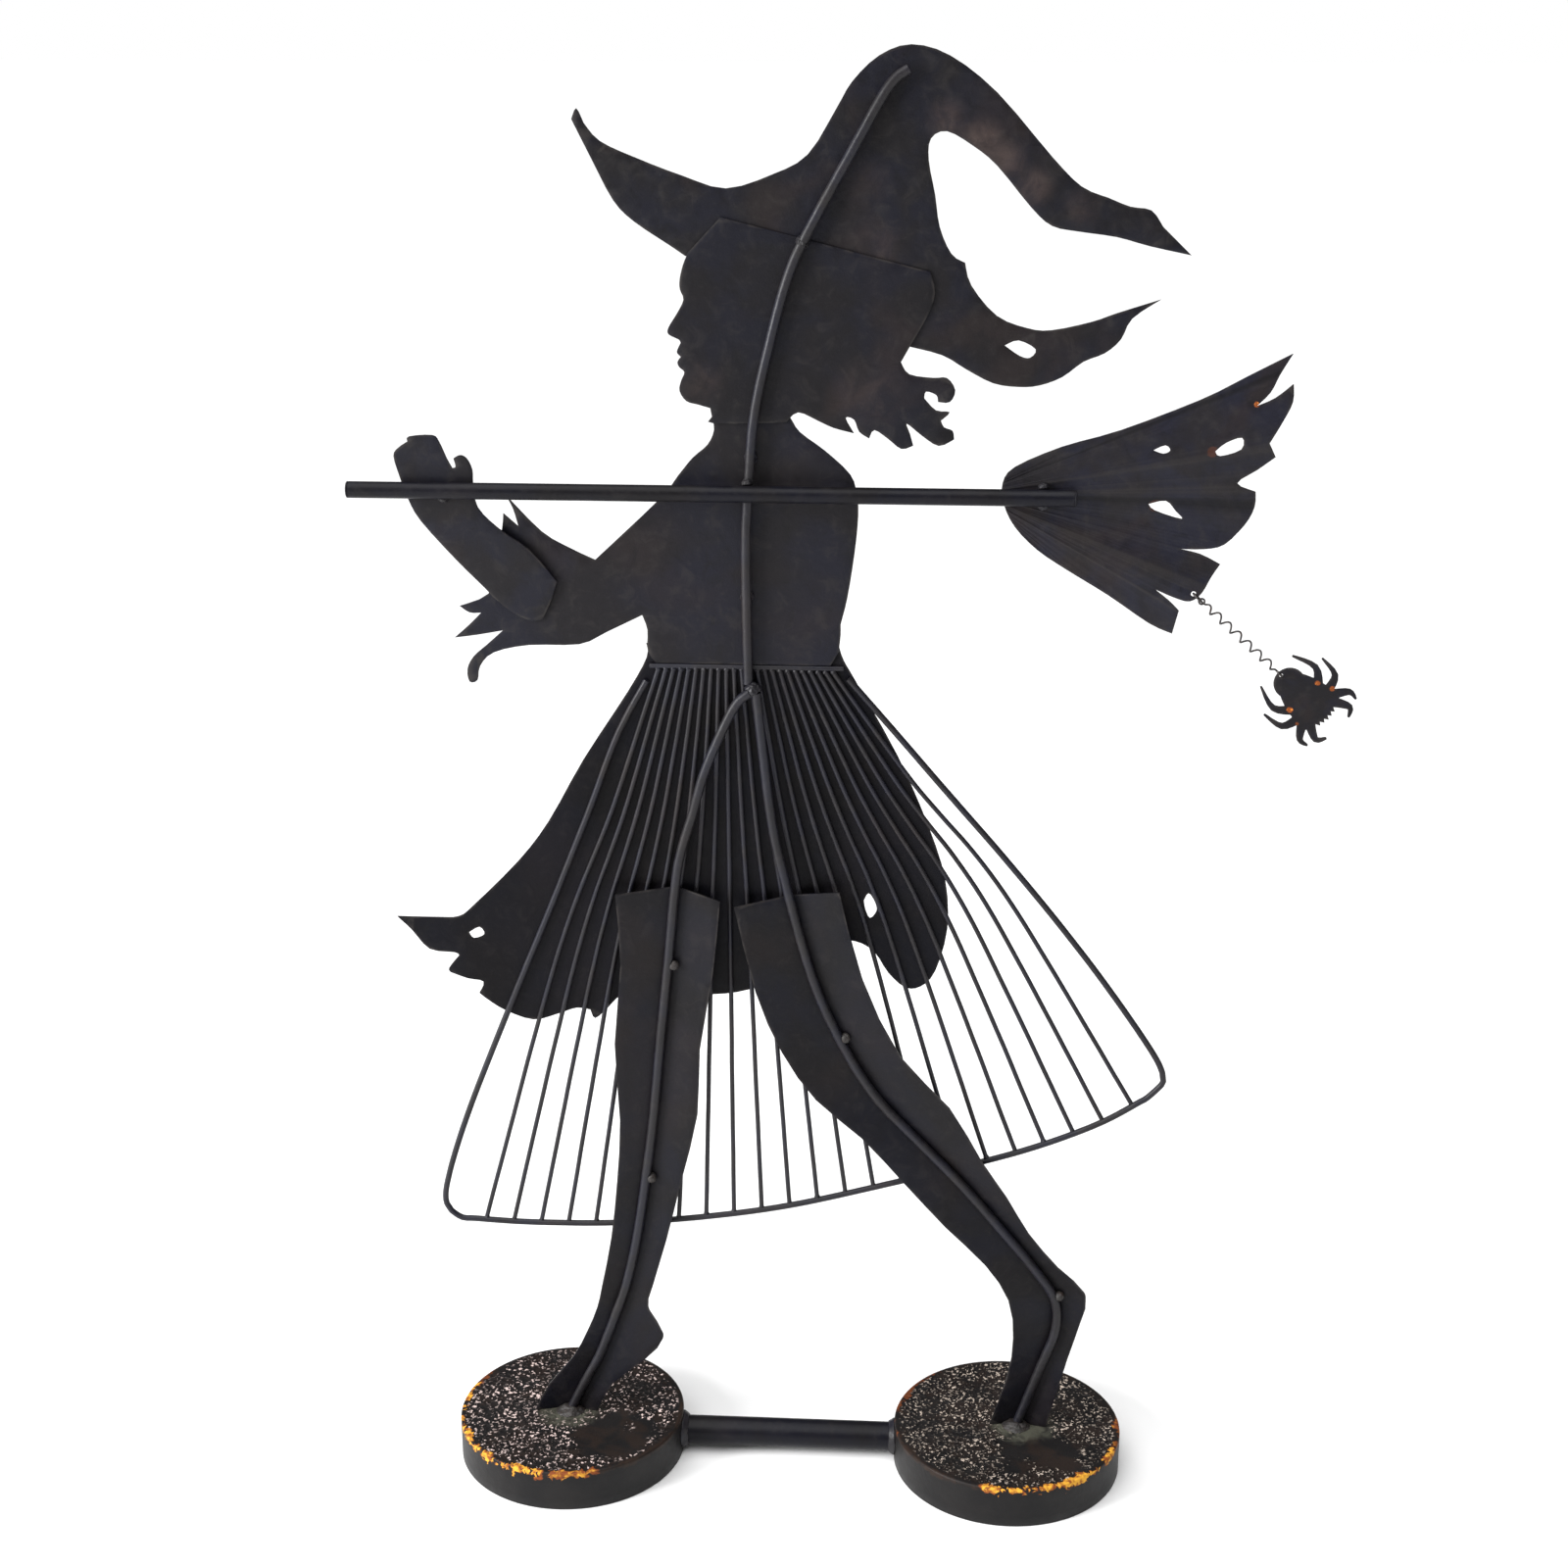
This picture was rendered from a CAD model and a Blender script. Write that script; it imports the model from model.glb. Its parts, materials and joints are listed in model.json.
import bmesh
import bpy
import json
import math
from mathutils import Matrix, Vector, noise


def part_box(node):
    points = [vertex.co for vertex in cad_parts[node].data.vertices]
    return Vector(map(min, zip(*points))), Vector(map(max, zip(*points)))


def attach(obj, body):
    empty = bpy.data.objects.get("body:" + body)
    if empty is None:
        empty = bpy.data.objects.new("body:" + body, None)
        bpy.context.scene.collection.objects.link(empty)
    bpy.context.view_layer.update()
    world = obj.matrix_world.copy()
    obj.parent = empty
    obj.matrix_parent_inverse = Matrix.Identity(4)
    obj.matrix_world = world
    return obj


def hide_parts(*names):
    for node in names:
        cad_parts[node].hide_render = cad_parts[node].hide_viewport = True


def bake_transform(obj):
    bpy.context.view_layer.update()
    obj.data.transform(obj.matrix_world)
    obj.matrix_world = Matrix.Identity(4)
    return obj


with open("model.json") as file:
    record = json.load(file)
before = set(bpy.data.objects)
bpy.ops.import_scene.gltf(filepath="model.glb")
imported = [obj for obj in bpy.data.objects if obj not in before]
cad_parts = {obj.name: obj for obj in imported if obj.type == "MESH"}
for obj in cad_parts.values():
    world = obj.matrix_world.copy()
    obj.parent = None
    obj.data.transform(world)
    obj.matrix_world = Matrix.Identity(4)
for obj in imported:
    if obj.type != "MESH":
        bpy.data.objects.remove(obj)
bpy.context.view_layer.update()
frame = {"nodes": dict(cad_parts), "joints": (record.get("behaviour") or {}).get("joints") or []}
cadNodes = frame["nodes"]
joints = {joint["name"]: joint for joint in frame["joints"]}
print("frame loaded,", len(cadNodes), "nodes")


# camera, floor and lights

cameraView = {"place": (0.04186, -1.37636, 0.95113), "down": 18.795, "turn": 3.4845, "lens": 54.0,
              "sensor": 36, "clip": (0.01, 100)}

camera = bpy.data.objects.new("camera", bpy.data.cameras.new("camera"))
bpy.context.collection.objects.link(camera)
camera.location = cameraView["place"]
camera.rotation_euler = (math.radians(90 - cameraView["down"]), 0, math.radians(cameraView["turn"]))
camera.data.lens = cameraView["lens"]
camera.data.sensor_width = cameraView["sensor"]
camera.data.clip_start, camera.data.clip_end = cameraView["clip"]
bpy.context.scene.camera = camera
bpy.context.scene.view_settings.view_transform = "Standard"

studio = {
    "backdrop": (1.0, 1.0, 1.0), "backdropGlow": 1.0, "surround": 0.12,
    "overhead": {"strength": 3.3, "softness": 70.0, "lean": (14.0, -10.0)},
    "lamps": {
        "leftKey": {"place": (-2.6, -1.3, 1.3), "aim": (0.0, 0.0, 0.45), "size": 1.2, "power": 120.0},
        "rightFill": {"place": (2.6, -1.6, 1.0), "aim": (0.0, 0.0, 0.4), "size": 1.6, "power": 3.0}}}


def makeWorld():
    world = bpy.data.worlds.new("studioAir")
    bpy.context.scene.world = world
    world.use_nodes = True
    links, nodes = world.node_tree.links, world.node_tree.nodes
    nodes.clear()
    shown, lighting = nodes.new("ShaderNodeBackground"), nodes.new("ShaderNodeBackground")
    shown.inputs["Color"].default_value = (*studio["backdrop"], 1)
    shown.inputs["Strength"].default_value = studio["backdropGlow"]
    lighting.inputs["Color"].default_value = (*studio["backdrop"], 1)
    lighting.inputs["Strength"].default_value = studio["surround"]
    rays, mixed = nodes.new("ShaderNodeLightPath"), nodes.new("ShaderNodeMixShader")
    links.new(rays.outputs["Is Camera Ray"], mixed.inputs["Fac"])
    links.new(lighting.outputs[0], mixed.inputs[1])
    links.new(shown.outputs[0], mixed.inputs[2])
    links.new(mixed.outputs[0], nodes.new("ShaderNodeOutputWorld").inputs["Surface"])


def makeLamp(name, lamp):
    light = bpy.data.lights.new(name, "AREA")
    light.size, light.energy = lamp["size"], lamp["power"]
    holder = bpy.data.objects.new(name, light)
    bpy.context.collection.objects.link(holder)
    holder.location = lamp["place"]
    holder.rotation_euler = (Vector(lamp["aim"]) - Vector(lamp["place"])).to_track_quat("-Z", "Y").to_euler()


def makeOverhead():  # an even, very soft light from above, as from a ceiling of diffusers
    light = bpy.data.lights.new("overhead", "SUN")
    light.energy, light.angle = studio["overhead"]["strength"], math.radians(studio["overhead"]["softness"])
    holder = bpy.data.objects.new("overhead", light)
    bpy.context.collection.objects.link(holder)
    holder.rotation_euler = [math.radians(turn) for turn in studio["overhead"]["lean"]] + [0]


makeWorld()
makeOverhead()
for lampName, lamp in studio["lamps"].items():
    makeLamp(lampName, lamp)
print("camera and studio ready")


# node graphs: one class for a graph, one for a socket in it

class Signal:
    def __init__(self, graph, socket):
        self.graph = graph
        self.socket = socket

    def math(self, operation, *others):
        return self.graph.node("ShaderNodeMath", {"operation": operation}, dict(enumerate((self, *others))))

    def step(self, low, high):  # 0 below low, 1 above high, smooth between; low above high turns it over
        return self.graph.node("ShaderNodeMapRange", {"interpolation_type": "SMOOTHSTEP"},
                               {"Value": self, "From Min": low, "From Max": high})

    def other(self, name):  # another output of the node that this one comes from
        return Signal(self.graph, self.socket.node.outputs[name])

    def __add__(self, value): return self.math("ADD", value)
    __radd__ = __add__
    def __mul__(self, value): return self.math("MULTIPLY", value)
    def __sub__(self, value): return self.math("SUBTRACT", value)
    def __rsub__(self, value): return (self * -1.0) + value
    def __pow__(self, value): return self.math("POWER", value)


class Graph:
    def __init__(self, tree):
        self.tree = tree

    def node(self, kind, settings=None, values=None, out=0):
        made = self.tree.nodes.new(kind)
        for key, value in (settings or {}).items():
            setattr(made, key, value)
        for key, value in (values or {}).items():
            if isinstance(value, Signal):
                self.tree.links.new(value.socket, made.inputs[key])
            else:
                made.inputs[key].default_value = value
        return Signal(self, made.outputs[out])


def tone(red, green, blue):  # a colour as a painter reads it off a chart, 0 to 255, as light
    return tuple((c / 255 / 12.92) if c <= 10 else ((c / 255 + 0.055) / 1.055) ** 2.4
                 for c in (red, green, blue))


class Coat(Graph):
    def __init__(self, name, constants):
        self.material = bpy.data.materials.new(name)
        self.material.use_nodes = True
        super().__init__(self.material.node_tree)
        self.tree.nodes.clear()
        self.shader = self.tree.nodes.new("ShaderNodeBsdfPrincipled")
        output = self.tree.nodes.new("ShaderNodeOutputMaterial")
        self.tree.links.new(self.shader.outputs[0], output.inputs["Surface"])
        for key, value in constants.items():
            self.shader.inputs[key].default_value = value
        self.place = self.node("ShaderNodeTexCoord", out="Object")

    def feed(self, name, signal):
        self.tree.links.new(signal.socket, self.shader.inputs[name])

    def cloud(self, size, detail=2.0, distortion=0.0, rough=0.5):  # noise with features about size across, metres
        return self.node("ShaderNodeTexNoise", {}, {"Vector": self.place, "Scale": 1 / size, "Detail": detail,
                                                   "Roughness": rough, "Distortion": distortion})

    def blend(self, share, low, high):
        low = low if isinstance(low, Signal) else (*low, 1)
        high = high if isinstance(high, Signal) else (*high, 1)
        return self.node("ShaderNodeMix", {"data_type": "RGBA"}, {0: share, 6: low, 7: high}, out=2)

    def distanceTo(self, point):
        return self.node("ShaderNodeVectorMath", {"operation": "DISTANCE"}, {0: self.place, 1: point}, out="Value")

    def along(self, point, direction):  # how far a place lies from point in a direction
        away = self.node("ShaderNodeVectorMath", {"operation": "SUBTRACT"}, {0: self.place, 1: point})
        return self.node("ShaderNodeVectorMath", {"operation": "DOT_PRODUCT"}, {0: away, 1: direction}, out="Value")

    def attribute(self, name):
        return self.node("ShaderNodeAttribute", {"attribute_name": name}, out="Fac")

    def bump(self, *layers):  # each layer is a height signal and its depth in metres
        normal = None
        for height, depth in layers:
            values = {"Height": height, "Distance": depth, "Strength": 1.0}
            if normal:
                values["Normal"] = normal
            normal = self.node("ShaderNodeBump", {}, values)
        self.feed("Normal", normal)


# finishes

coatTones = {
    "black": tone(23, 21, 24), "cool": tone(22, 22, 31), "warm": tone(36, 29, 28), "rubbed": tone(48, 45, 44),
    "dust": tone(48, 46, 45), "sheen": tone(78, 65, 61), "rust": tone(132, 68, 30), "freshRust": tone(214, 132, 56),
    "gold": tone(224, 164, 54), "umber": tone(52, 36, 26), "weld": tone(38, 34, 32), "weldGrey": tone(78, 78, 68),
    "iron": tone(70, 68, 66), "sandCast": tone(88, 80, 74), "pit": tone(18, 17, 19), "fold": tone(14, 13, 15),
    "baseDark": tone(17, 16, 17), "baseLight": tone(25, 23, 23), "weldBrown": tone(46, 37, 32),
    "wireDark": tone(58, 56, 58), "wireLight": tone(86, 82, 80)}
coatGrain = {"grit": (0.0011, 0.00005), "fine": (0.006, 0.00012), "worked": (0.011, 0.0003)}  # size and depth, metres
foldLook = {"perRadian": 9.0, "depth": 0.0016}
hammerSize = 0.016
rimWear = {"none": 0.0016, "full": 0.0002}


def powderCoat(name, mottleSize=0.045, warmShare=0.55, rustSpots=(), gloss=0.5, hammered=0.0, rim=True, shade=1.0,
               specular=0.17, sheen=(), fan=None):
    coat = Coat(name, {"Specular IOR Level": specular})
    black, cool = (tuple(channel * shade for channel in coatTones[key]) for key in ("black", "cool"))
    patches = coat.cloud(mottleSize, 3.0, 0.4)
    fine = coat.cloud(coatGrain["fine"][0], 3.0)
    grit = coat.cloud(coatGrain["grit"][0], 1.0)
    marked = min(1.0, shade)  # a darker coat shows its marks less
    colour = coat.blend(patches.step(0.38, 0.62), cool, black)
    brown = coat.cloud(mottleSize * 1.7, 2.0, 1.0).step(0.5, 0.72) * warmShare
    colour = coat.blend(brown * marked, colour, coatTones["warm"])
    colour = coat.blend(fine.step(0.58, 0.8) * 0.25 * marked, colour, coatTones["dust"])
    worked = coat.cloud(coatGrain["worked"][0], 4.0, 0.7, 0.6)
    colour = coat.blend(worked.step(0.5, 0.72) * 0.3 * marked, colour, coatTones["rubbed"])
    colour = coat.blend(worked.step(0.46, 0.3) * 0.45, colour, coatTones["pit"])
    if fan:  # streaks that run out from a point, as the sheet was creased by hand
        bearing = coat.along(fan, (0, 0, 1)).math("ARCTAN2", coat.along(fan, (1, 0, 0)))
        streak = coat.node("ShaderNodeTexNoise", {"noise_dimensions": "1D"},
                           {"W": bearing * foldLook["perRadian"], "Scale": 1.0, "Detail": 3.0})
        colour = coat.blend(streak.step(0.44, 0.3) * 0.8, colour, coatTones["fold"])
        colour = coat.blend(streak.step(0.54, 0.7) * 0.5, colour, coatTones["rubbed"])
    smeared = coat.cloud(0.02, 4.0, 0.8, 0.65).step(0.34, 0.66)
    for point, reach, strength in sheen:  # where the coat has been rubbed to a brownish shine
        band = coat.distanceTo(point).step(reach, reach * 0.1) * (smeared * 0.75 + 0.25) * strength
        colour = coat.blend(band, colour, coatTones["sheen"])
    rough = gloss + (patches - 0.5) * 0.2 + (fine - 0.5) * 0.16 + (worked - 0.5) * 0.3
    if rim:  # the edge is rubbed a little, unevenly
        edge = coat.attribute("rimDistance")
        worn = edge.step(rimWear["none"], rimWear["full"]) * coat.cloud(0.011, 3.0).step(0.4, 0.62)
        colour = coat.blend(worn * 0.75, colour, coatTones["rubbed"])
        rough = rough - worn * 0.08
    for point, reach, strength in rustSpots:
        near = coat.distanceTo(point).step(reach, reach * 0.15)
        eaten = (near * 1.15 + coat.cloud(0.0032, 4.0, 0.6) - 0.62).step(0.3, 0.62) * strength
        stain = (near * coat.cloud(0.009, 2.0) * 1.3).step(0.2, 0.7) * 0.7 * strength
        colour = coat.blend(stain, colour, coatTones["umber"])
        colour = coat.blend(eaten, colour, coatTones["rust"])
        colour = coat.blend((eaten * coat.cloud(0.0014, 1.0)).step(0.5, 0.72), colour, coatTones["freshRust"])
        rough = rough + eaten * 0.3
    coat.feed("Base Color", colour)
    coat.feed("Roughness", rough)
    layers = [(grit, coatGrain["grit"][1]), (fine, coatGrain["fine"][1]), (worked, coatGrain["worked"][1])]
    if fan:
        layers.append((streak, foldLook["depth"]))
    if hammered:
        layers.append((coat.cloud(hammerSize, 2.0, 0.3), hammered))
    coat.bump(*layers)
    return coat.material


def pebbledCoat(name, centre, radius, top, wornArcs, smear, glints):
    coat = Coat(name, {"Specular IOR Level": 0.2})
    ridge = coat.attribute("ridge")
    offset = coat.along((centre, 0, 0), (1, 0, 0))
    depth = coat.along((centre, 0, 0), (0, 1, 0))
    height = coat.along((centre, 0, 0), (0, 0, 1))
    reach = (offset * offset + depth * depth) ** 0.5
    bearing = depth.math("ARCTAN2", offset)
    fine = coat.cloud(0.005, 3.0)
    colour = coat.blend(coat.cloud(0.03, 3.0).step(0.35, 0.65), coatTones["baseDark"], coatTones["baseLight"])
    onTop = height.step(top - 0.0012, top - 0.0002) * reach.step(radius - 0.0015, radius - 0.005)
    hollow = onTop * (1 - ridge)
    dirty = hollow * coat.cloud(0.02, 3.0, 0.8).step(0.4, 0.6)
    colour = coat.blend(dirty * 0.28, colour, coatTones["umber"])
    glint = coat.cloud(glints["size"], 2.0, 0.5).step(0.54, 0.6) * ridge.step(0.15, 0.6) * onTop
    glint = glint * (coat.cloud(0.022, 3.0).step(0.36, 0.58) * 0.75 + 0.25) * glints["share"]
    colour = coat.blend(glint, colour, glints["tone"])
    toEdge = ((reach - (radius - 0.0012)) ** 2.0 + (height - (top - 0.0014)) ** 2.0) ** 0.5
    bite = coat.cloud(0.0044, 4.0, 1.2) + coat.cloud(0.013, 2.0) * 1.5 - 1.25
    wear = 0.0
    for middle, halfWidth, strength in wornArcs:
        turn = (bearing - math.radians(middle)).math("WRAP", math.pi, -math.pi).math("ABSOLUTE")
        arc = turn.step(math.radians(halfWidth), math.radians(halfWidth * 0.55))
        wear = ((toEdge * -300.0 + 0.8 + bite * 3.2) * arc).step(0.2, 0.5) * strength + wear
    stain = (toEdge * -240.0 + 0.9 + bite).step(0.3, 0.8) * 0.5
    colour = coat.blend(stain, colour, coatTones["umber"])
    wear = wear.math("MINIMUM", 1.0)
    colour = coat.blend(wear, colour, coatTones["rust"])
    colour = coat.blend((wear * coat.cloud(0.0035, 2.0)).step(0.34, 0.62), colour, coatTones["gold"])
    smeared = (coat.distanceTo(smear).step(0.034, 0.01) * coat.cloud(0.009, 4.0, 0.8)).step(0.16, 0.6)
    colour = coat.blend(smeared * 0.85, colour, coatTones["weldGrey"])
    coat.feed("Base Color", colour)
    coat.feed("Roughness", 0.5 - onTop * ridge * 0.24 + wear * 0.25 + hollow * 0.1 + (fine - 0.5) * 0.14)
    coat.bump((coat.cloud(0.0012, 1.0), 0.00005), (fine, 0.00018))
    return coat.material


def weldMetal(name):
    coat = Coat(name, {"Specular IOR Level": 0.5})
    lumps = coat.cloud(0.0024, 3.0, 0.5)
    colour = coat.blend(lumps.step(0.35, 0.66), coatTones["weldBrown"], coatTones["weld"])
    colour = coat.blend(coat.cloud(0.006, 2.0).step(0.52, 0.68) * 0.35, colour, coatTones["weldGrey"])
    colour = coat.blend(coat.cloud(0.012, 2.0).step(0.4, 0.6) * 0.6, colour, coatTones["black"])
    coat.feed("Base Color", colour)
    coat.feed("Roughness", 0.36 + lumps * 0.4)
    coat.bump((coat.cloud(0.0009, 2.0), 0.00012), (lumps, 0.0004))
    return coat.material


def springWire(name):
    coat = Coat(name, {"Metallic": 1.0})
    streaks = coat.cloud(0.0016, 2.0)
    colour = coat.blend(streaks.step(0.4, 0.62), coatTones["wireDark"], coatTones["wireLight"])
    coat.feed("Base Color", coat.blend(coat.cloud(0.007, 3.0).step(0.55, 0.7) * 0.6, colour, coatTones["umber"]))
    coat.feed("Roughness", 0.34 + streaks * 0.25)
    coat.bump((coat.cloud(0.0006, 1.0), 0.00003))
    return coat.material


def castIron(name):
    coat = Coat(name, {"Metallic": 0.7, "Specular IOR Level": 0.4})
    sand = coat.cloud(0.0013, 3.0)
    colour = coat.blend(coat.cloud(0.02, 3.0).step(0.4, 0.62), coatTones["iron"], coatTones["sandCast"])
    coat.feed("Base Color", coat.blend(coat.cloud(0.006, 3.0).step(0.6, 0.72) * 0.5, colour, coatTones["rust"]))
    coat.feed("Roughness", 0.6 + sand * 0.3)
    coat.bump((sand, 0.0003))
    return coat.material


def paperFloor(name):
    coat = Coat(name, {"Roughness": 0.95, "Specular IOR Level": 0.1})
    coat.feed("Base Color", coat.blend(coat.cloud(0.5, 2.0), tone(250, 250, 250), tone(253, 253, 253)))
    return coat.material


floorReach = 30
floorMesh = bpy.data.meshes.new("floor")
floorMesh.from_pydata([(x * floorReach, y * floorReach, 0) for x, y in ((-1, -1), (1, -1), (1, 1), (-1, 1))], [],
                      [(0, 1, 2, 3)])
floor = bpy.data.objects.new("floor", floorMesh)
bpy.context.collection.objects.link(floor)
floorMesh.materials.append(paperFloor("paperFloor"))
print("floor and finishes ready")


# helpers for pieces

slack = {"merge": 2e-6, "tiny": 1e-6, "level": 4e-6, "pair": 1.5e-5}  # metres
sharp = {"flat": 0.4, "rim": 62, "crease": 20, "corner": 50}  # degrees between two faces


def mergedCopy(nodeName):
    shape = bmesh.new()
    shape.from_mesh(cadNodes[nodeName].data)
    bmesh.ops.remove_doubles(shape, verts=shape.verts, dist=slack["merge"])
    bmesh.ops.dissolve_degenerate(shape, edges=shape.edges, dist=slack["tiny"])
    return shape


def flattenedCopy(nodeName):  # without the edges that cross a flat face
    shape = mergedCopy(nodeName)
    bmesh.ops.dissolve_limit(shape, angle_limit=math.radians(sharp["flat"]), verts=shape.verts, edges=shape.edges)
    return shape


def sharpEdges(shape, angle):
    return [edge for edge in shape.edges
            if len(edge.link_faces) == 2 and edge.calc_face_angle(0) > math.radians(angle)]


def rimEdges(shape):  # the outline of both faces of a sheet, without the short edges through it
    return [edge for edge in sharpEdges(shape, sharp["rim"])
            if abs((edge.verts[0].co - edge.verts[1].co).normalized().y) < 0.5]


def easeEdges(shape, edges, width, segments):
    bmesh.ops.bevel(shape, geom=edges, offset=width, segments=segments, profile=0.5, affect="EDGES",
                    clamp_overlap=True)


def gridCut(shape, step):  # cuts the shape along a grid of planes across X and Z
    for axis in (0, 2):
        low = min(vert.co[axis] for vert in shape.verts)
        high = max(vert.co[axis] for vert in shape.verts)
        for k in range(math.floor(low / step) + 1, math.ceil(high / step)):
            point, across = [0, 0, 0], [0, 0, 0]
            point[axis], across[axis] = k * step, 1
            bmesh.ops.bisect_plane(shape, geom=shape.verts[:] + shape.edges[:] + shape.faces[:],
                                   plane_co=point, plane_no=across, dist=slack["tiny"])


def asPiece(name, shape, coat, smoothUpTo=28):
    mesh = bpy.data.meshes.new(name)
    if isinstance(shape, bmesh.types.BMesh):
        shape.to_mesh(mesh)
        shape.free()
    else:
        mesh = shape
    piece = bpy.data.objects.new(name, mesh)
    bpy.context.collection.objects.link(piece)
    mesh.polygons.foreach_set("use_smooth", [True] * len(mesh.polygons))
    mesh.set_sharp_from_angle(angle=math.radians(smoothUpTo))
    if coat:
        mesh.materials.clear()
        mesh.materials.append(coat)
    return piece


def standsFor(piece, slotName, body, *nodeNames):
    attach(piece, body)
    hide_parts(*nodeNames)
    return piece


dents = {"broad": 0.075, "broadDepth": 0.00042, "small": 0.021, "smallDepth": 0.00012}


def dentAt(x, z):
    broad = noise.noise(Vector((x, 0.31, z)) / dents["broad"])
    small = noise.noise(Vector((x, 0.77, z)) / dents["small"])
    return broad * dents["broadDepth"] + small * dents["smallDepth"]


def distanceToEdges(x, z, edges):
    best = 1.0
    for ax, az, bx, bz in edges:
        dx, dz = bx - ax, bz - az
        share = max(0.0, min(1.0, ((x - ax) * dx + (z - az) * dz) / (dx * dx + dz * dz)))
        best = min(best, (x - ax - share * dx) ** 2 + (z - az - share * dz) ** 2)
    return math.sqrt(best)


sheetDefaults = {"edge": 0.00025, "grid": 0.008, "shade": 1.0, "specular": 0.17, "sheen": (), "crease": 0.0,
                 "dented": 1.0, "shaped": None}


def sheetPiece(name, nodeName, coat, look):
    shape = flattenedCopy(nodeName)
    rims = rimEdges(shape)
    rimLines = {}
    for edge in rims:
        a, b = sorted((round(v.co.x, 5), round(v.co.z, 5)) for v in edge.verts)
        if a != b:
            rimLines[(a, b)] = (*a, *b)
    rimLines = list(rimLines.values())
    if look["crease"]:
        creases = [edge for edge in sharpEdges(shape, sharp["crease"])
                   if edge not in rims and edge.calc_face_angle(0) < 1.0]
        easeEdges(shape, creases, look["crease"], segments=4)
        rims = rimEdges(shape)
    easeEdges(shape, rims, look["edge"], segments=2)
    gridCut(shape, look["grid"])
    shape.verts.ensure_lookup_table()
    reach = [distanceToEdges(vert.co.x, vert.co.z, rimLines) for vert in shape.verts]
    for vert in shape.verts:
        vert.co.y += dentAt(vert.co.x, vert.co.z) * look["dented"]
        if look["shaped"]:
            vert.co.y += look["shaped"](vert.co.x, vert.co.z)
    piece = asPiece(name, shape, coat)
    rim = piece.data.attributes.new("rimDistance", "FLOAT", "POINT")
    rim.data.foreach_set("value", reach)
    return piece


# flat and folded sheets of the figure

sheetLooks = {
    "hatPanel": {"node": "hat_panel", "mottle": 0.035, "warm": 0.6, "hammered": 0.0007, "shade": 0.85,
                 "sheen": [((0.05, 0.004, 0.878), 0.016, 0.45), ((0.07, 0.004, 0.868), 0.016, 0.6),
                           ((0.084, 0.004, 0.856), 0.015, 0.55), ((0.1, 0.004, 0.842), 0.015, 0.5),
                           ((0.128, 0.004, 0.83), 0.014, 0.3), ((0.011, 0.004, 0.806), 0.022, 0.25),
                           ((0.006, 0.004, 0.844), 0.018, 0.15)]},
    "headPanel": {"node": "head_panel", "mottle": 0.05, "warm": 0.7, "hammered": 0.0003, "shade": 0.8,
                  "sheen": [((-0.09, 0.002, 0.729), 0.018, 0.25), ((0.008, 0.002, 0.722), 0.03, 0.2)]},
    "torsoPanel": {"node": "torso_panel", "mottle": 0.06, "warm": 0.45, "hammered": 0.0003},
    "forearmPanel": {"node": "forearm_panel", "grid": 0.007, "mottle": 0.03, "warm": 0.4, "hammered": 0.0002,
                     "dented": 0.4},
    "skirtPanel": {"node": "skirt_panel", "mottle": 0.07, "warm": 0.35, "hammered": 0.0002, "shade": 0.45,
                   "specular": 0.1},
    "leftLegPanel": {"node": "left_leg_panel", "mottle": 0.05, "warm": 0.45, "hammered": 0.0003, "shade": 0.68,
                     "crease": 0.0022, "dented": 0.6},
    "rightLegPanel": {"node": "right_leg_panel", "mottle": 0.05, "warm": 0.45, "hammered": 0.0003, "shade": 0.64,
                      "crease": 0.0022, "dented": 0.6}}

for pieceName, changes in sheetLooks.items():
    look = sheetDefaults | changes
    coat = powderCoat(pieceName + "Coat", look["mottle"], look["warm"], hammered=look["hammered"],
                      shade=look["shade"], specular=look["specular"], sheen=look["sheen"])
    piece = sheetPiece(pieceName, look["node"], coat, look)
    standsFor(piece, "sheet_steel", "root", look["node"])
    print(pieceName, len(piece.data.polygons), "faces")


# rods: a geometry tree that runs round bar along the centre line of each rod

def geometryTree(name, inputs):
    tree = bpy.data.node_groups.new(name, "GeometryNodeTree")
    tree.interface.new_socket("Geometry", in_out="INPUT", socket_type="NodeSocketGeometry")
    for label, kind in inputs.items():
        tree.interface.new_socket(label, in_out="INPUT", socket_type="NodeSocket" + kind)
    tree.interface.new_socket("Geometry", in_out="OUTPUT", socket_type="NodeSocketGeometry")
    graph = Graph(tree)
    given = graph.node("NodeGroupInput", out="Geometry")
    return graph, given


def finishTree(graph, given, geometry):
    whole = graph.node("GeometryNodeRealizeInstances", {}, {"Geometry": geometry})
    coated = graph.node("GeometryNodeSetMaterial", {}, {"Geometry": whole, "Material": given.other("Coat")})
    graph.tree.links.new(coated.socket, graph.tree.nodes.new("NodeGroupOutput").inputs["Geometry"])
    return graph.tree


def grown(name, mesh, tree, values):  # runs a tree on a mesh and keeps the result as a plain mesh
    holder = bpy.data.objects.new(name + "Seed", mesh)
    bpy.context.collection.objects.link(holder)
    modifier = holder.modifiers.new("grow", "NODES")
    modifier.node_group = tree
    sockets = {item.name: item.identifier for item in tree.interface.items_tree
               if item.item_type == "SOCKET" and item.in_out == "INPUT"}
    for label, value in values.items():
        modifier[sockets[label]] = value
    ready = holder.evaluated_get(bpy.context.evaluated_depsgraph_get())
    result = bpy.data.meshes.new_from_object(ready)
    holder.modifiers.clear()
    bpy.data.objects.remove(holder)
    return result


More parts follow.
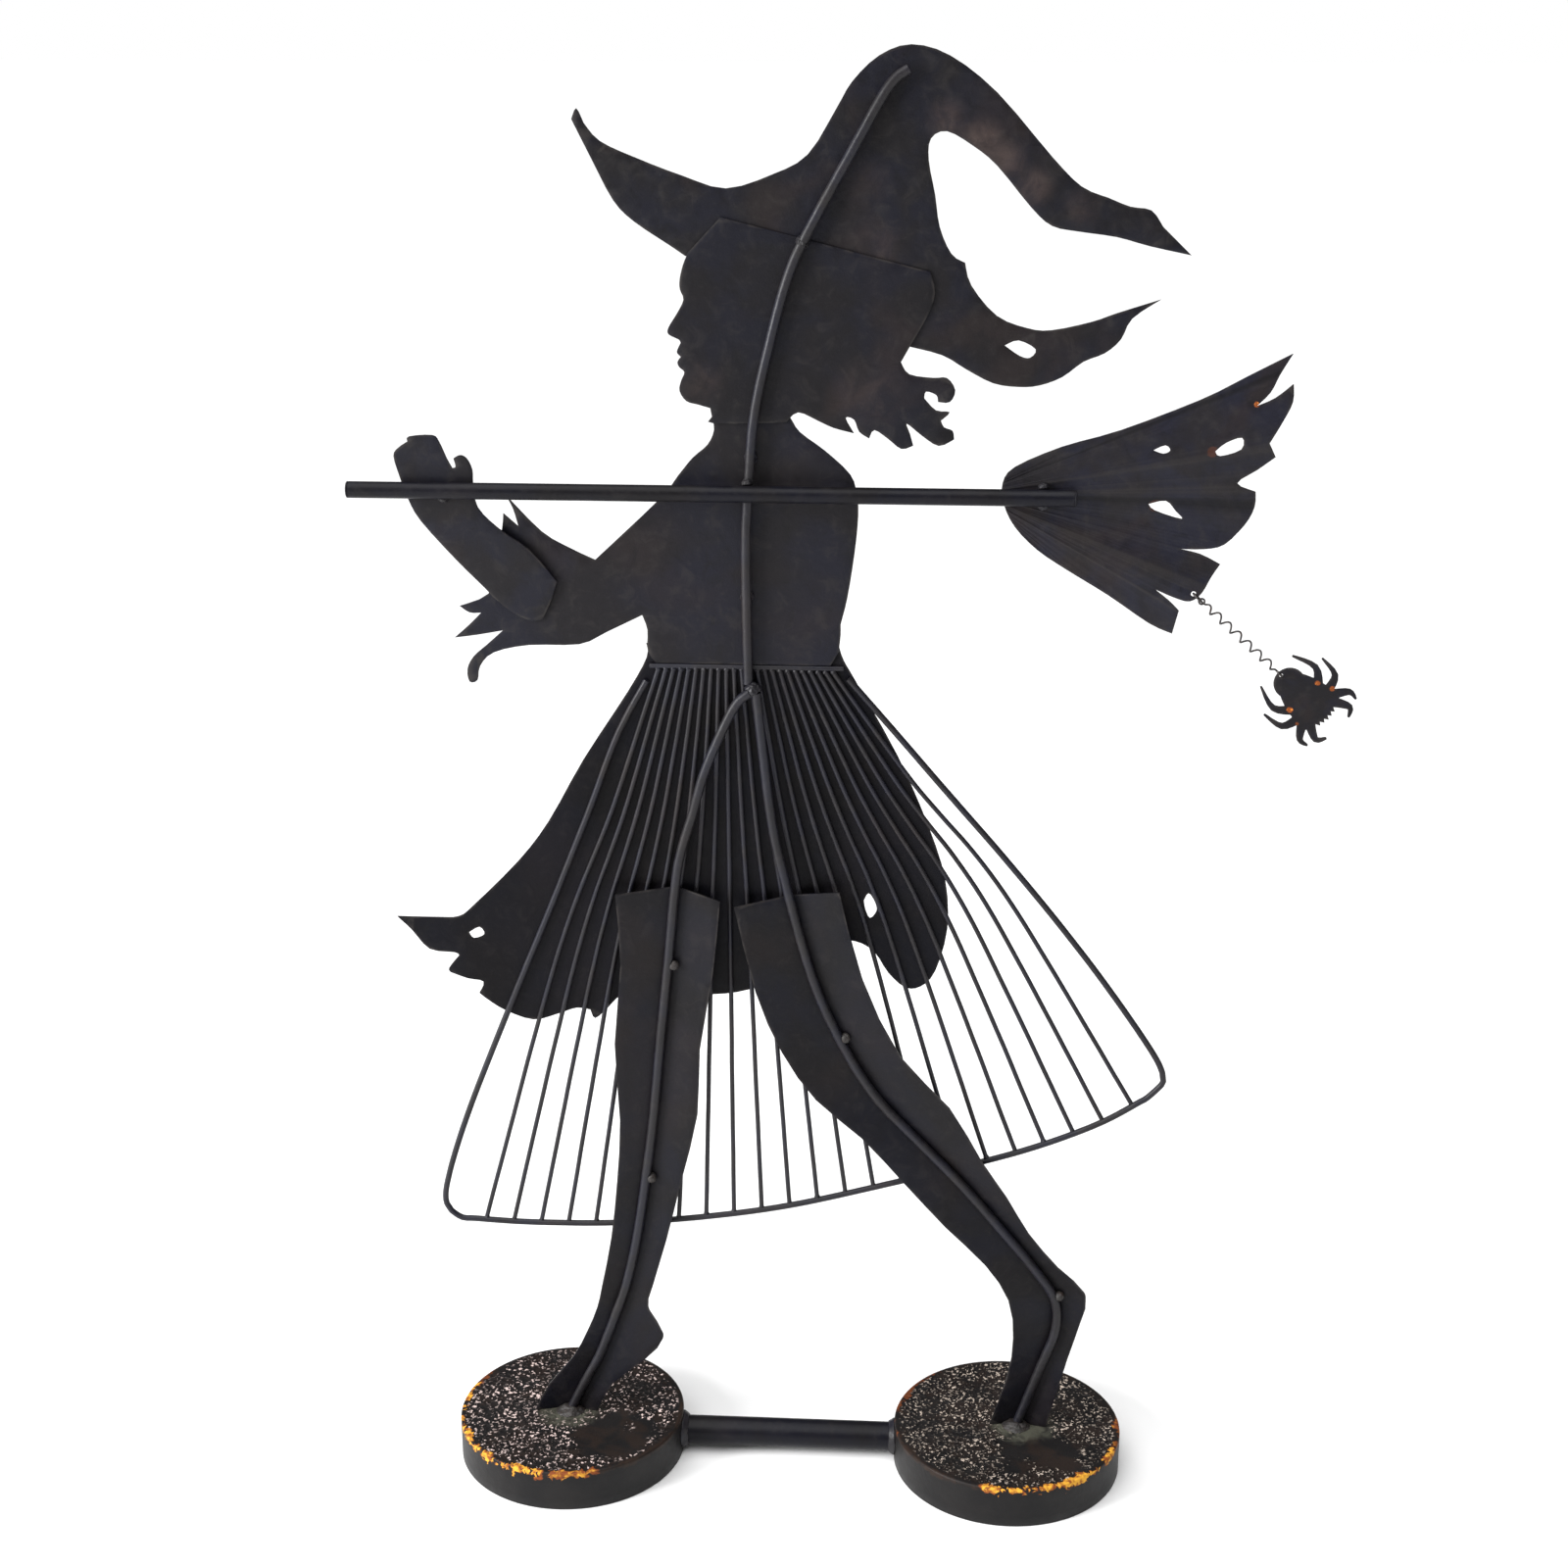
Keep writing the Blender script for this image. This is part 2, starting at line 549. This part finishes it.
def roundBarTree():
    graph, given = geometryTree("roundBar", {"Radius": "Float", "Step": "Float", "Sides": "Int", "Waver": "Float",
                                             "Seed": "Int", "Coat": "Material"})
    curve = graph.node("GeometryNodeMeshToCurve", {}, {"Mesh": given})
    curve = graph.node("GeometryNodeCurveSplineType", {"spline_type": "CATMULL_ROM"}, {"Curve": curve})
    curve = graph.node("GeometryNodeResampleCurve", {"mode": "LENGTH"}, {"Curve": curve, "Length": given.other("Step")})
    spot = graph.node("GeometryNodeInputPosition")
    drift = graph.node("ShaderNodeTexNoise", {"noise_dimensions": "4D"},
                       {"Vector": spot, "W": given.other("Seed"), "Scale": 22.0, "Detail": 1.0}, out="Color")
    centred = graph.node("ShaderNodeVectorMath", {"operation": "SUBTRACT"}, {0: drift, 1: (0.5, 0.5, 0.5)})
    moved = graph.node("ShaderNodeVectorMath", {"operation": "SCALE"}, {0: centred, "Scale": given.other("Waver")})
    curve = graph.node("GeometryNodeSetPosition", {}, {"Geometry": curve, "Offset": moved})
    ring = graph.node("GeometryNodeCurvePrimitiveCircle", {"mode": "RADIUS"},
                      {"Resolution": given.other("Sides"), "Radius": given.other("Radius")})
    bar = graph.node("GeometryNodeCurveToMesh", {}, {"Curve": curve, "Profile Curve": ring, "Fill Caps": True})
    return finishTree(graph, given, bar)


def centreLine(nodeName, radius):  # halfway between the two sides of a rod at the height of its middle in Y
    low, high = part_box(nodeName)
    middle = (low[1] + high[1]) / 2
    shape = mergedCopy(nodeName)
    level = [vert.co.copy() for vert in shape.verts if abs(vert.co.y - middle) < slack["level"]]
    shape.free()
    middles = []
    used = set()
    for i, a in enumerate(level):
        if i in used:
            continue
        near = [(abs((a - b).length - 2 * radius), j) for j, b in enumerate(level) if j != i and j not in used]
        if near and min(near)[0] < slack["pair"]:
            j = min(near)[1]
            used.update((i, j))
            middles.append((a + level[j]) / 2)
    line = [max(middles, key=lambda p: p.z)]
    middles.remove(line[0])
    while middles:
        nearest = min(middles, key=lambda p: (p - line[-1]).length)
        middles.remove(nearest)
        line.append(nearest)
    return line


def lineMesh(name, lines):
    points, edges = [], []
    for line in lines:
        edges += [(len(points) + i, len(points) + i + 1) for i in range(len(line) - 1)]
        points += [tuple(p) for p in line]
    mesh = bpy.data.meshes.new(name)
    mesh.from_pydata(points, edges, [])
    return mesh


roundBar = roundBarTree()
rodCoat = powderCoat("rodCoat", 0.03, 0.4, gloss=0.44, rim=False, shade=1.2, specular=0.32)
barDefaults = {"radius": 0.003, "step": 0.003, "sides": 20, "seed": 3, "toBase": False}
rodLooks = {
    "spineRod": {"nodes": ["spine_rod"], "waver": 0.0003},
    "leftLegRod": {"nodes": ["left_leg_rod"], "waver": 0.0002, "toBase": True},
    "rightLegRod": {"nodes": ["right_leg_rod"], "waver": 0.0002, "toBase": True},
    "skirtHoop": {"nodes": ["skirt_hoop"], "radius": 0.002, "sides": 16, "waver": 0.0003},
    "skirtRibs": {"nodes": [f"skirt_rib_{i:02d}" for i in range(1, 25)], "radius": 0.0015, "step": 0.006, "sides": 12,
                  "waver": 0.0007}}
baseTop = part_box("left_base_cover")[1][2]
shortestReach = 0.0005

for pieceName, changes in rodLooks.items():
    look = barDefaults | changes
    lines = [centreLine(nodeName, look["radius"]) for nodeName in look["nodes"]]
    if look["toBase"]:  # the bar runs on in its own direction until it meets the base
        last, before = lines[0][-1], lines[0][-2]
        down = (last - before).normalized()
        lines[0].append(last + down * max(shortestReach, (last.z - baseTop) / -down.z))
    if pieceName == "skirtRibs":
        ribEnds = [line[0] for line in lines] + [line[-1] for line in lines]
    mesh = grown(pieceName, lineMesh(pieceName, lines), roundBar,
                 {"Radius": look["radius"], "Step": look["step"], "Sides": look["sides"], "Waver": look["waver"],
                  "Seed": look["seed"], "Coat": rodCoat})
    piece = asPiece(pieceName, mesh, None, smoothUpTo=40)
    standsFor(piece, "rod_steel", "root", *look["nodes"])
    print(pieceName, len(lines), "bars,", len(piece.data.polygons), "faces")


# small welds at both ends of each rib

tackLook = {"size": 0.002, "spread": 0.3, "lumps": 1.6, "depth": 0.7, "turn": 6.2, "seed": 11}


def tackTree():
    graph, given = geometryTree("tackWelds", {"Size": "Float", "Spread": "Float", "Seed": "Int", "Coat": "Material"})
    drop = graph.node("GeometryNodeMeshIcoSphere", {}, {"Radius": 1.0, "Subdivisions": 3})
    spot = graph.node("GeometryNodeInputPosition")
    rough = graph.node("ShaderNodeTexNoise", {}, {"Vector": spot, "Scale": tackLook["lumps"], "Detail": 1.0})
    away = graph.node("ShaderNodeVectorMath", {"operation": "SCALE"},
                      {0: spot, "Scale": (rough - 0.5) * tackLook["depth"]})
    drop = graph.node("GeometryNodeSetPosition", {}, {"Geometry": drop, "Offset": away})
    size = graph.node("FunctionNodeRandomValue", {"data_type": "FLOAT"},
                      {2: given.other("Size") * (1 - given.other("Spread")), 3: given.other("Size"),
                       "Seed": given.other("Seed")}, out=1)
    turn = graph.node("FunctionNodeRandomValue", {"data_type": "FLOAT_VECTOR"},
                      {0: (0, 0, 0), 1: (tackLook["turn"],) * 3, "Seed": given.other("Seed")}, out=0)
    points = graph.node("GeometryNodeMeshToPoints", {}, {"Mesh": given})
    beads = graph.node("GeometryNodeInstanceOnPoints", {},
                       {"Points": points, "Instance": drop, "Rotation": turn, "Scale": size})
    return finishTree(graph, given, beads)


weldCoat = weldMetal("weldMetal")
tacks = grown("ribTacks", lineMesh("ribTacks", [[point] for point in ribEnds]), tackTree(),
              {"Size": tackLook["size"], "Spread": tackLook["spread"], "Seed": tackLook["seed"], "Coat": rodCoat})
ribTacks = asPiece("ribTacks", tacks, None, smoothUpTo=60)
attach(ribTacks, "root")
print("rib tacks", len(ribEnds))


# welds: the CAD beads, melted and lumpy

def meltedWeld(name, nodeName, coat, look):
    shape = mergedCopy(nodeName)
    holder = asPiece(name + "Seed", shape, None)
    remesh = holder.modifiers.new("melt", "REMESH")
    remesh.mode, remesh.voxel_size = "VOXEL", look["voxel"]
    ready = holder.evaluated_get(bpy.context.evaluated_depsgraph_get())
    mesh = bpy.data.meshes.new_from_object(ready)
    holder.modifiers.clear()
    bpy.data.objects.remove(holder)
    soft = bmesh.new()
    soft.from_mesh(mesh)
    for _ in range(look["smooth"]):
        bmesh.ops.smooth_vert(soft, verts=soft.verts, factor=0.5, use_axis_x=True, use_axis_y=True, use_axis_z=True)
    soft.normal_update()
    for vert in soft.verts:
        coarse, small = noise.noise(vert.co / look["lump"]), noise.noise(vert.co / (look["lump"] * 0.4))
        lump = coarse * 0.7 + small * 0.3
        vert.co += vert.normal * (look["swell"] + lump * look["depth"])
    if "squat" in look:  # a weld on a base has run out flat
        for vert in soft.verts:
            vert.co.z = baseTop + max(look["lift"], (vert.co.z - baseTop) * look["squat"])
    return asPiece(name, soft, coat, smoothUpTo=80)


weldLooks = {
    "footWelds": {"node": "foot_welds", "coat": weldCoat, "voxel": 0.0006, "smooth": 5, "lump": 0.0045,
                  "depth": 0.0014, "swell": 0.0003, "squat": 0.6, "lift": 0.0002},
    "spineWelds": {"node": "spine_welds", "coat": rodCoat, "voxel": 0.0005, "smooth": 4, "lump": 0.0035,
                   "depth": 0.0011, "swell": -0.0002},
    "legRodWelds": {"node": "leg_rod_welds", "coat": weldCoat, "voxel": 0.00045, "smooth": 3, "lump": 0.003,
                    "depth": 0.0006, "swell": 0.0},
    "handleWelds": {"node": "handle_welds", "coat": rodCoat, "voxel": 0.0005, "smooth": 4, "lump": 0.003,
                    "depth": 0.0006, "swell": -0.0009},
    "crossTubeWelds": {"node": "cross_tube_welds", "coat": rodCoat, "voxel": 0.0006, "smooth": 5, "lump": 0.005,
                       "depth": 0.0005, "swell": 0.0002}}

for pieceName, look in weldLooks.items():
    piece = meltedWeld(pieceName, look["node"], look["coat"], look)
    standsFor(piece, "weld_steel", "root", look["node"])
    print(pieceName, len(piece.data.polygons), "faces")


# broom and waist rod

def refined(name, nodeName, coat, edge):  # the CAD shape with its edges eased
    shape = flattenedCopy(nodeName)
    if edge:
        easeEdges(shape, sharpEdges(shape, sharp["corner"]), edge, segments=3)
    return asPiece(name, shape, coat, smoothUpTo=30)


handleCoat = powderCoat("handleCoat", 0.05, 0.35, gloss=0.42, rim=False, shade=0.65, specular=0.15)
handle = refined("broomHandle", "broom_handle", handleCoat, 0.0)
standsFor(handle, "rod_steel", "root", "broom_handle")
handleEnds = refined("handleEnds", "broom_handle_plugs", handleCoat, 0.0006)
standsFor(handleEnds, "rod_steel", "root", "broom_handle_plugs")

foldCentre = {"before": 0.014, "z": 0.666}  # the folds meet a little before the broom head begins
broomNose = Vector((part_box("broom_head")[0][0] - foldCentre["before"], 0, foldCentre["z"]))
ripples = {"depth": 0.0011, "perRadian": 17, "fullAt": 0.17, "waver": 1.4, "waverPer": 18}
broomRust = [((0.2325, -0.002, 0.7204), 0.003, 1.0), ((0.2085, -0.002, 0.6925), 0.006, 0.15),
             ((0.177, -0.002, 0.66), 0.006, 0.1)]


def broomRipple(x, z):  # soft folds that fan out from the nose and deepen to the ragged end
    away = Vector((x, 0, z)) - broomNose
    bearing = math.atan2(away.z, away.x)
    reach = min(1.0, away.length / ripples["fullAt"])
    waver = noise.noise(away * ripples["waverPer"]) * ripples["waver"]
    return ripples["depth"] * reach * math.sin(bearing * ripples["perRadian"] + waver)


broomLook = sheetDefaults | {"grid": 0.005, "dented": 0.8, "shaped": broomRipple}
broomCoat = powderCoat("broomCoat", 0.03, 0.55, rustSpots=broomRust, hammered=0.0008, shade=1.35,
                       fan=tuple(broomNose))
broomHead = sheetPiece("broomHead", "broom_head", broomCoat, broomLook)
standsFor(broomHead, "sheet_steel", "root", "broom_head")
waistRod = refined("waistRod", "waist_rod", rodCoat, 0.0003)
standsFor(waistRod, "rod_steel", "root", "waist_rod")
print("broom", len(broomHead.data.polygons), "faces")


# spring and spider

hook = Vector(joints["spider_bob"]["pos_m"])
hangDir = Vector(joints["spring_stretch"]["axis"]).normalized()
sideDir = Vector((0, 1, 0))
upDir = hangDir.cross(sideDir).normalized()
springLook = {"wire": 0.0006, "radius": 0.0022, "turns": 7, "start": 0.008, "length": 0.061, "eye": 0.074,
              "loop": 0.0034, "link": 0.0017, "lead": 0.002, "stepsPerTurn": 14, "firstShare": 0.35, "growSteps": 9,
              "step": 0.0005, "sides": 10, "seed": 1}
linkTurn = {"start": 200, "step": 30, "points": 13, "shift": 0.15}
springTail = ((-0.0022, 0.0019), (0.0, 0.0016), (0.0012, 0.0002), (0.0, -0.0016), (-0.0022, -0.0017),
              (-0.0036, -0.0006))  # through the spider's eye and back: along the spring, across the sheet


def springLine():
    look = springLook
    points = []
    for k in range(linkTurn["points"]):  # a small ring through the end loop
        a = math.radians(linkTurn["start"] - linkTurn["step"] * k)
        along = look["loop"] * 2 + look["link"] * (math.cos(a) + linkTurn["shift"])
        points.append(hook + hangDir * along + upDir * look["link"] * math.sin(a))
    steps = look["stepsPerTurn"] * look["turns"]
    for k in range(steps + 1):
        a = math.tau * k / look["stepsPerTurn"]
        grow = min(1.0, *(look["firstShare"] + away / look["growSteps"] for away in (k, steps - k)))
        along = look["start"] + look["lead"] + (look["length"] - look["lead"]) * k / steps
        points.append(hook + hangDir * along + (sideDir * math.cos(a) + upDir * math.sin(a)) * look["radius"] * grow)
    points += [hook + hangDir * (look["eye"] + along) + sideDir * across for along, across in springTail]
    return points


springCoat = springWire("springWire")
springMesh = grown("spring", lineMesh("spring", [springLine()]), roundBar,
                   {"Radius": springLook["wire"], "Step": springLook["step"], "Sides": springLook["sides"],
                    "Waver": 0.0, "Seed": springLook["seed"], "Coat": springCoat})
spring = asPiece("spiderSpring", springMesh, None, smoothUpTo=60)
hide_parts("spider_spring")
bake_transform(spring)

loopSteps, wireSides = 48, 12
loopCentre = hook + hangDir * springLook["loop"]
loopShape = bmesh.new()
rings = []
for k in range(loopSteps):
    a = math.tau * k / loopSteps
    point = hook + hangDir * springLook["loop"] * (1 + math.cos(a)) + sideDir * springLook["loop"] * math.sin(a)
    out = (point - loopCentre).normalized()
    rings.append([loopShape.verts.new(point + (out * math.cos(b) + upDir * math.sin(b)) * springLook["wire"])
                  for b in (math.tau * j / wireSides for j in range(wireSides))])
for ring, after in zip(rings, rings[1:] + rings[:1]):
    for j in range(wireSides):
        m = (j + 1) % wireSides
        loopShape.faces.new((ring[j], after[j], after[m], ring[m]))
bmesh.ops.recalc_face_normals(loopShape, faces=loopShape.faces)
endLoop = asPiece("springEndLoop", loopShape, springCoat, smoothUpTo=60)
standsFor(endLoop, "spring_steel", "spring_loop", "spring_end_loop")

spiderLook = {"centre": 0.0812, "body": 0.0095, "dome": 0.0006, "seam": 0.0003, "seamWidth": 0.0008, "seamEnd": 0.002}
spiderAt = hook + hangDir * spiderLook["centre"]
acrossBody = sideDir.cross(hangDir).normalized()
spiderRust = [(tuple(spiderAt + hangDir * u + acrossBody * v), reach, strength) for u, v, reach, strength in
              ((0.012, 0.0115, 0.0034, 1.0), (0.012, -0.0115, 0.003, 0.9), (0.021, -0.015, 0.003, 0.9),
               (0.0215, 0.0145, 0.0022, 0.5))]
spiderCoat = powderCoat("spiderCoat", 0.012, 0.5, rustSpots=spiderRust, gloss=0.48)


def spiderDome(x, z):  # a slightly domed body with a line pressed along its rear half
    away = Vector((x, spiderAt.y, z)) - spiderAt
    body = max(0.0, 1 - (away.length / spiderLook["body"]) ** 2)
    seam = 0.0
    if away.dot(hangDir) < spiderLook["seamEnd"]:
        seam = math.exp(-((away.dot(acrossBody) / spiderLook["seamWidth"]) ** 2))
    return spiderLook["seam"] * seam * body - spiderLook["dome"] * body


spider = sheetPiece("spider", "spider_plate", spiderCoat,
                    sheetDefaults | {"edge": 0.0002, "grid": 0.0015, "dented": 0.0, "shaped": spiderDome})
standsFor(spider, "sheet_steel", "spider", "spider_plate")
print("spring and spider", len(spring.data.polygons) + len(spider.data.polygons), "faces")


# bases: a drawn cover with a pebbled top, the weight and the plate inside it

baseLook = {"radius": 0.076, "height": baseTop, "edge": 0.0015, "wall": 0.002, "cells": 184, "pebble": 0.0026,
            "pebbleHeight": 0.00055, "rim": 0.0032, "roundSteps": (18, 36, 54, 72, 90), "sideRows": (0.72, 0.48, 0.24),
            "lowEdge": 0.0004}


def coverShape(centre):
    r, h, e, n = baseLook["radius"], baseLook["height"], baseLook["edge"], baseLook["cells"]
    lowEdge, wall = baseLook["lowEdge"], baseLook["wall"]
    shape = bmesh.new()
    grid = []
    for i in range(n + 1):
        row = []
        for j in range(n + 1):
            a, b = 2 * i / n - 1, 2 * j / n - 1  # a square grid is drawn out into a disc
            if abs(a) > abs(b):
                reach, turn = a, math.pi / 4 * b / a
            else:
                reach, turn = b, (math.pi / 2 - math.pi / 4 * a / b) if b else 0.0
            away = (r - e) * reach
            row.append(shape.verts.new((centre + away * math.cos(turn), away * math.sin(turn), h)))
        grid.append(row)
    for i in range(n):
        for j in range(n):
            shape.faces.new((grid[i][j], grid[i + 1][j], grid[i + 1][j + 1], grid[i][j + 1]))
    border = ([grid[i][0] for i in range(n)] + [grid[n][j] for j in range(n)]
              + [grid[n - i][n] for i in range(n)] + [grid[0][n - j] for j in range(n)])
    profile = [(r - e + e * math.sin(math.radians(t)), h - e + e * math.cos(math.radians(t)))
               for t in baseLook["roundSteps"]]
    profile += [(r, h * share) for share in baseLook["sideRows"]]
    profile += [(r, lowEdge), (r - lowEdge, 0.0), (r - wall, 0.0), (r - wall, h - wall)]
    ring = border
    for reach, z in profile:
        after = []
        for vert in border:
            turn = math.atan2(vert.co.y, vert.co.x - centre)
            after.append(shape.verts.new((centre + reach * math.cos(turn), reach * math.sin(turn), z)))
        for k in range(len(ring)):
            m = (k + 1) % len(ring)
            shape.faces.new((ring[k], after[k], after[m], ring[m]))
        ring = after
    shape.faces.new(ring)
    bmesh.ops.recalc_face_normals(shape, faces=shape.faces)
    mesh = bpy.data.meshes.new("coverSeed")
    shape.to_mesh(mesh)
    shape.free()
    return mesh


def pebbleTree():
    graph, given = geometryTree("pebbledTop", {"Centre": "Vector", "Radius": "Float", "Rim": "Float", "Pebble": "Float",
                                               "Height": "Float", "Smooth Spot": "Vector", "Seed": "Int",
                                               "Coat": "Material"})
    spot = graph.node("GeometryNodeInputPosition")
    away = graph.node("ShaderNodeVectorMath", {"operation": "SUBTRACT"}, {0: spot, 1: given.other("Centre")})
    z = graph.node("ShaderNodeSeparateXYZ", {}, {0: away}, out="Z")
    reach = graph.node("ShaderNodeVectorMath", {"operation": "LENGTH"}, {0: away}, out="Value")
    inside = reach.step(given.other("Radius") - given.other("Rim") * 0.5,
                        given.other("Radius") - given.other("Rim") * 1.6)
    inside = inside * z.step(-0.0002, -0.00005)  # only the flat top
    bare = graph.node("ShaderNodeVectorMath", {"operation": "DISTANCE"}, {0: spot, 1: given.other("Smooth Spot")},
                      out="Value")
    patchy = graph.node("ShaderNodeTexNoise", {"noise_dimensions": "4D"},
                        {"Vector": spot, "W": given.other("Seed"), "Scale": 45.0, "Detail": 2.0})
    inside = inside * (bare + patchy * 0.08).step(0.058, 0.074)
    worms = graph.node("ShaderNodeTexNoise", {"noise_dimensions": "4D"},
                       {"Vector": spot, "W": given.other("Seed"), "Scale": given.other("Pebble") ** -1.0, "Detail": 1.0,
                        "Distortion": 0.9})
    ridge = worms.step(0.44, 0.6) * inside
    lift = graph.node("ShaderNodeCombineXYZ", {}, {"Z": ridge * given.other("Height")})
    kept = graph.node("GeometryNodeStoreNamedAttribute", {"data_type": "FLOAT", "domain": "POINT"},
                      {"Geometry": given, "Name": "ridge", "Value": ridge})
    top = graph.node("GeometryNodeSetPosition", {}, {"Geometry": kept, "Offset": lift})
    return finishTree(graph, given, top)


pebbledTop = pebbleTree()
baseSides = {
    "leftBase": {"nodes": "left_base", "wornArcs": [(-148, 62, 1.0), (-96, 34, 0.8), (175, 34, 0.5)],
                 "smooth": (0.03, -0.034), "foot": "left_leg_rod", "seed": 5,
                 "glints": {"size": 0.0026, "share": 0.95, "tone": tone(222, 200, 194)}},
    "rightBase": {"nodes": "right_base", "wornArcs": [(-62, 52, 1.0), (-12, 24, 0.7), (160, 42, 0.45)],
                  "smooth": (0.024, -0.036), "foot": "right_leg_rod", "seed": 9,
                  "glints": {"size": 0.002, "share": 0.85, "tone": tone(206, 190, 176)}}}
rodRadius = barDefaults["radius"]
ballastCoat = castIron("castBallast")
plateCoat = powderCoat("plateCoat", 0.04, 0.3, rim=False)

for pieceName, look in baseSides.items():
    low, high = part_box(look["nodes"] + "_cover")
    centre = (low[0] + high[0]) / 2
    if pieceName == "leftBase":  # this rod reaches its lowest X at the foot
        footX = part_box(look["foot"])[0][0] + rodRadius
    else:
        footX = centreLine(look["foot"], rodRadius)[-1].x
    coat = pebbledCoat(pieceName + "Coat", centre, baseLook["radius"], baseTop, look["wornArcs"],
                       (footX, -rodRadius, baseTop), look["glints"])
    mesh = grown(pieceName, coverShape(centre), pebbledTop,
                 {"Centre": (centre, 0, baseTop), "Radius": baseLook["radius"], "Rim": baseLook["rim"],
                  "Pebble": baseLook["pebble"], "Height": baseLook["pebbleHeight"],
                  "Smooth Spot": (centre + look["smooth"][0], look["smooth"][1], baseTop), "Seed": look["seed"],
                  "Coat": coat})
    piece = asPiece(pieceName + "Cover", mesh, None, smoothUpTo=50)
    standsFor(piece, "base_steel", "root", look["nodes"] + "_cover")
    for inner, innerCoat in (("_ballast", ballastCoat), ("_plate", plateCoat)):
        for holder in cadNodes[look["nodes"] + inner].material_slots:
            holder.material = innerCoat
    print(pieceName, len(piece.data.polygons), "faces")

crossTube = refined("crossTube", "cross_tube", handleCoat, 0.0)
standsFor(crossTube, "rod_steel", "root", "cross_tube")
print("bases and cross tube ready")
